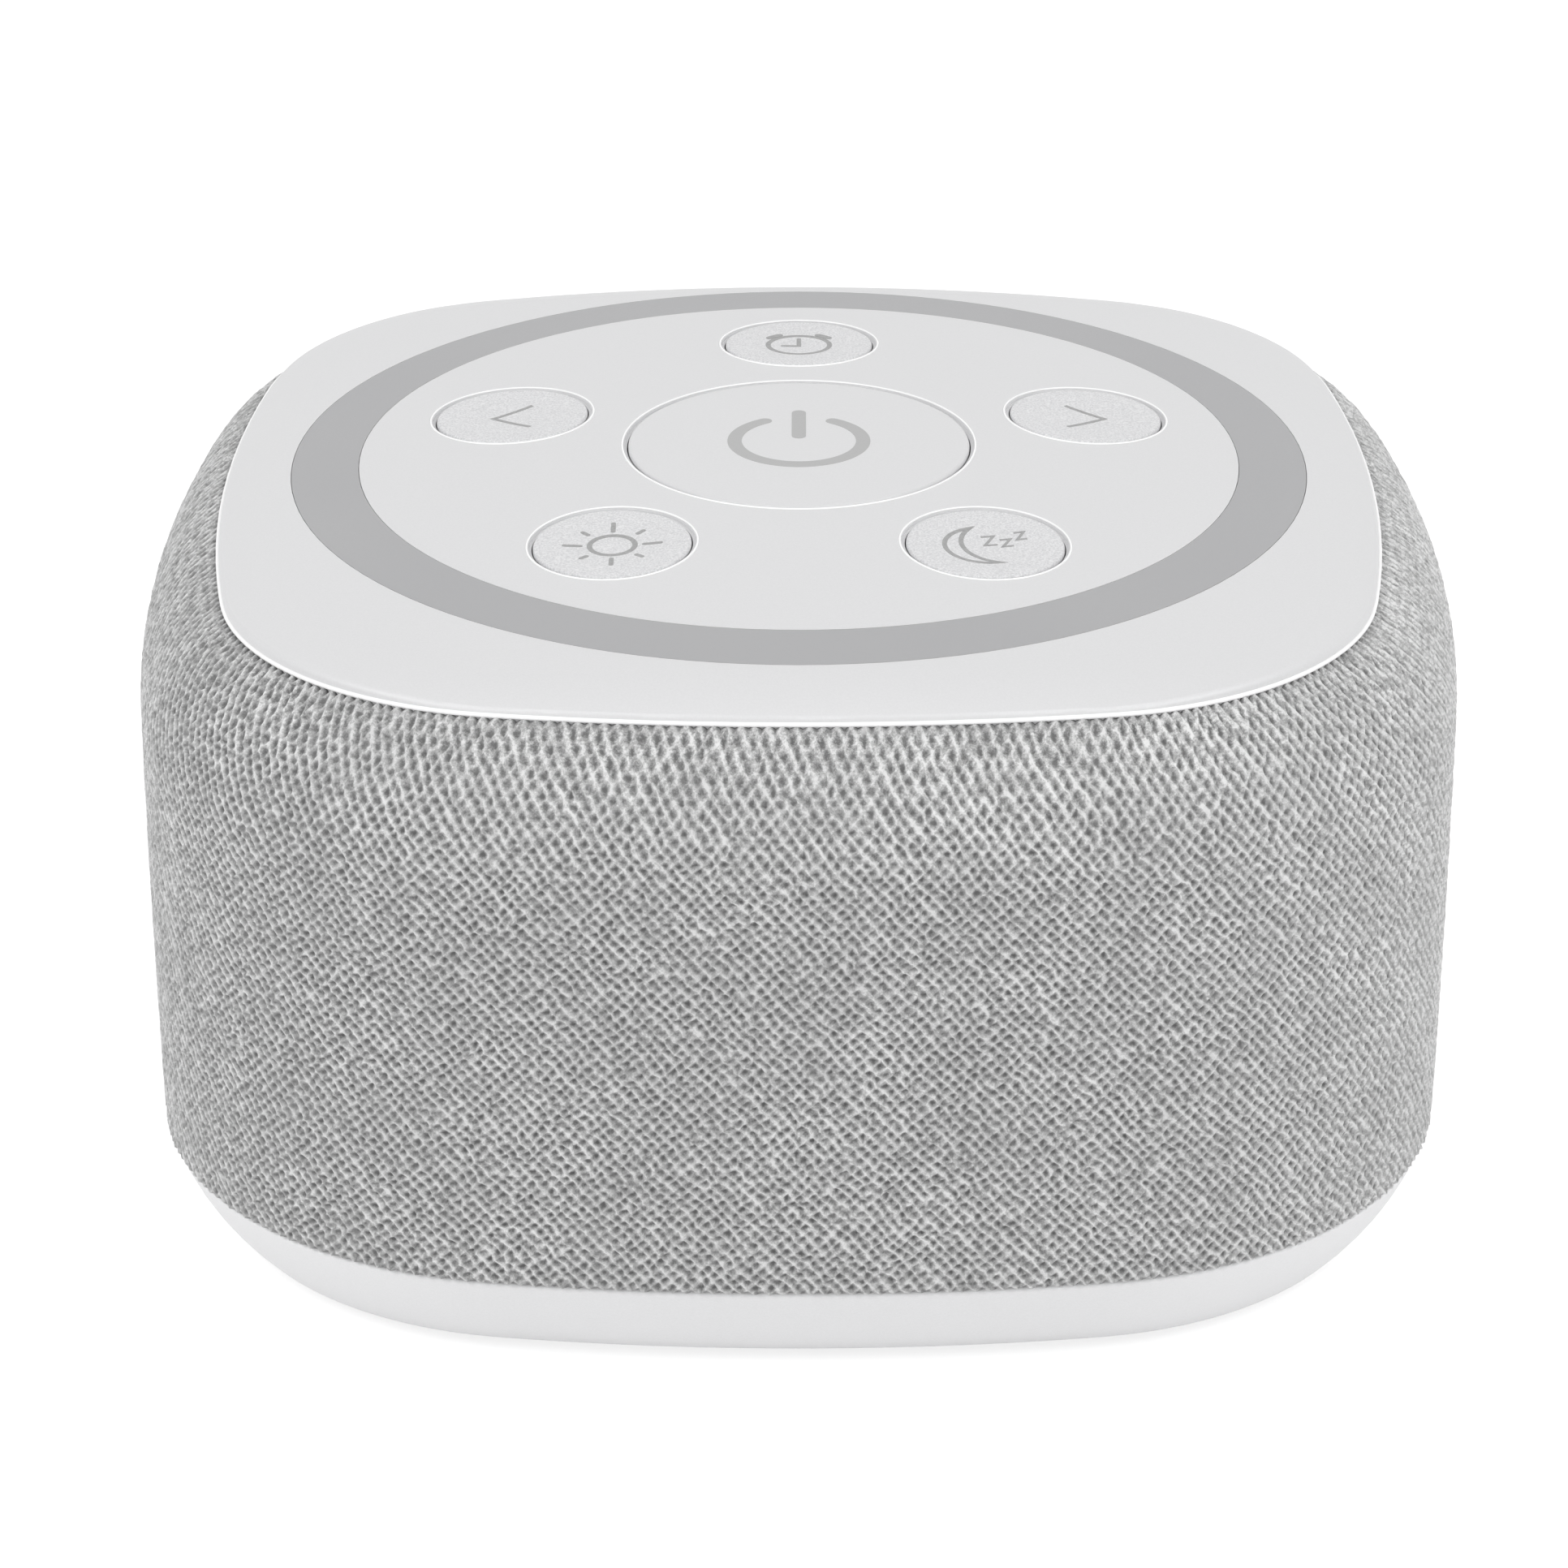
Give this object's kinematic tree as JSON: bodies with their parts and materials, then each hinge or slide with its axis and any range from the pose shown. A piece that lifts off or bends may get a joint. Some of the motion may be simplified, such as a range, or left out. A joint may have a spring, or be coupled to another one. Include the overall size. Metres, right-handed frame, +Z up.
{
  "type": "white noise sound machine",
  "caption": "Bedside sound machine: fabric-wrapped rounded-square body on a tapered base, with a domed top of push keys round a night-light ring.",
  "frame": {"origin": "middle of the footprint, on the surface that the rubber feet stand on", "axes": "+Z up, -Y towards the user, +X to the user's right"},
  "size_m": [0.106, 0.106, 0.0576],
  "materials": {
    "top_plastic": "fine satin moulding",
    "ring_diffuser": "smooth satin, slightly translucent",
    "key_plastic": "fine spark-eroded grain",
    "base_plastic": "fine-textured matt moulding",
    "knit_fabric": "coarse stretched knit, light grey",
    "inner_plastic": "black matt moulding",
    "white_plastic": "white reflector plastic",
    "rubber_grey": "soft grey silicone",
    "foam_black": "black foam and rubber",
    "board_green": "green solder mask on glass epoxy",
    "chip_black": "black epoxy packages",
    "screw_zinc": "bright zinc-plated steel",
    "frame_steel": "black electro-coated pressed steel",
    "plate_steel": "zinc-plated mild steel",
    "ferrite": "dark ground ferrite",
    "paper_cone": "black pressed paper pulp",
    "copper_coil": "enamelled copper wire",
    "spider_cloth": "resin-dipped yellow cloth",
    "ribbon_grey": "grey ribbon insulation",
    "lead_black": "black wire insulation",
    "socket_steel": "drawn stainless steel",
    "can_aluminium": "drawn aluminium cans"
  },
  "bodies": {
    "housing": {"top_bezel": "top_plastic", "light_ring": "ring_diffuser", "button_panel": "top_plastic", "control_board": "board_green", "switch_bodies": "chip_black", "ring_lights": "white_plastic", "ring_channel": "white_plastic", "board_screws": "screw_zinc", "channel_screws": "screw_zinc", "rim_screws": "screw_zinc", "cabinet": "inner_plastic", "fabric_sleeve": "knit_fabric", "base": "base_plastic", "rubber_feet": "rubber_grey", "base_screws": "screw_zinc", "baffle": "inner_plastic", "baffle_screws": "screw_zinc", "speaker_basket": "frame_steel", "speaker_gasket": "foam_black", "speaker_surround": "foam_black", "speaker_spider": "spider_cloth", "speaker_magnet": "ferrite", "front_plate": "plate_steel", "magnet_yoke": "plate_steel", "speaker_terminals": "board_green", "speaker_screws": "screw_zinc", "sound_deflector": "inner_plastic", "main_board": "board_green", "main_board_screws": "screw_zinc", "usb_socket_shell": "socket_steel", "usb_socket_tongue": "chip_black", "connectors": "white_plastic", "board_ribbon": "ribbon_grey", "speaker_leads": "lead_black", "board_chips": "chip_black", "capacitors": "can_aluminium"},
    "power_key": {"power_button": "top_plastic", "power_switch_stem": "chip_black"},
    "alarm_key": {"alarm_button": "key_plastic", "alarm_switch_stem": "chip_black"},
    "previous_key": {"previous_button": "key_plastic", "previous_switch_stem": "chip_black"},
    "next_key": {"next_button": "key_plastic", "next_switch_stem": "chip_black"},
    "brightness_key": {"brightness_button": "key_plastic", "brightness_switch_stem": "chip_black"},
    "sleep_timer_key": {"sleep_timer_button": "key_plastic", "sleep_timer_switch_stem": "chip_black"},
    "cone": {"speaker_cone": "paper_cone", "dust_cap": "paper_cone", "voice_coil": "copper_coil"}
  },
  "joints": [
    {"name": "power_press", "type": "slide", "parent": "housing", "child": "power_key", "axis": [0, 0, -1], "range_m": [0, 0.0005], "stiffness_N_per_m": 1500},
    {"name": "alarm_press", "type": "slide", "parent": "housing", "child": "alarm_key", "axis": [0, 0, -1], "range_m": [0, 0.0005], "stiffness_N_per_m": 1500},
    {"name": "previous_press", "type": "slide", "parent": "housing", "child": "previous_key", "axis": [0, 0, -1], "range_m": [0, 0.0005], "stiffness_N_per_m": 1500},
    {"name": "next_press", "type": "slide", "parent": "housing", "child": "next_key", "axis": [0, 0, -1], "range_m": [0, 0.0005], "stiffness_N_per_m": 1500},
    {"name": "brightness_press", "type": "slide", "parent": "housing", "child": "brightness_key", "axis": [0, 0, -1], "range_m": [0, 0.0005], "stiffness_N_per_m": 1500},
    {"name": "sleep_timer_press", "type": "slide", "parent": "housing", "child": "sleep_timer_key", "axis": [0, 0, -1], "range_m": [0, 0.0005], "stiffness_N_per_m": 1500},
    {"name": "cone_travel", "type": "slide", "parent": "housing", "child": "cone", "axis": [0, 0, -1], "range_m": [-0.0008, 0.0008], "stiffness_N_per_m": 1000, "deforming": ["speaker_surround", "speaker_spider"]}
  ]
}
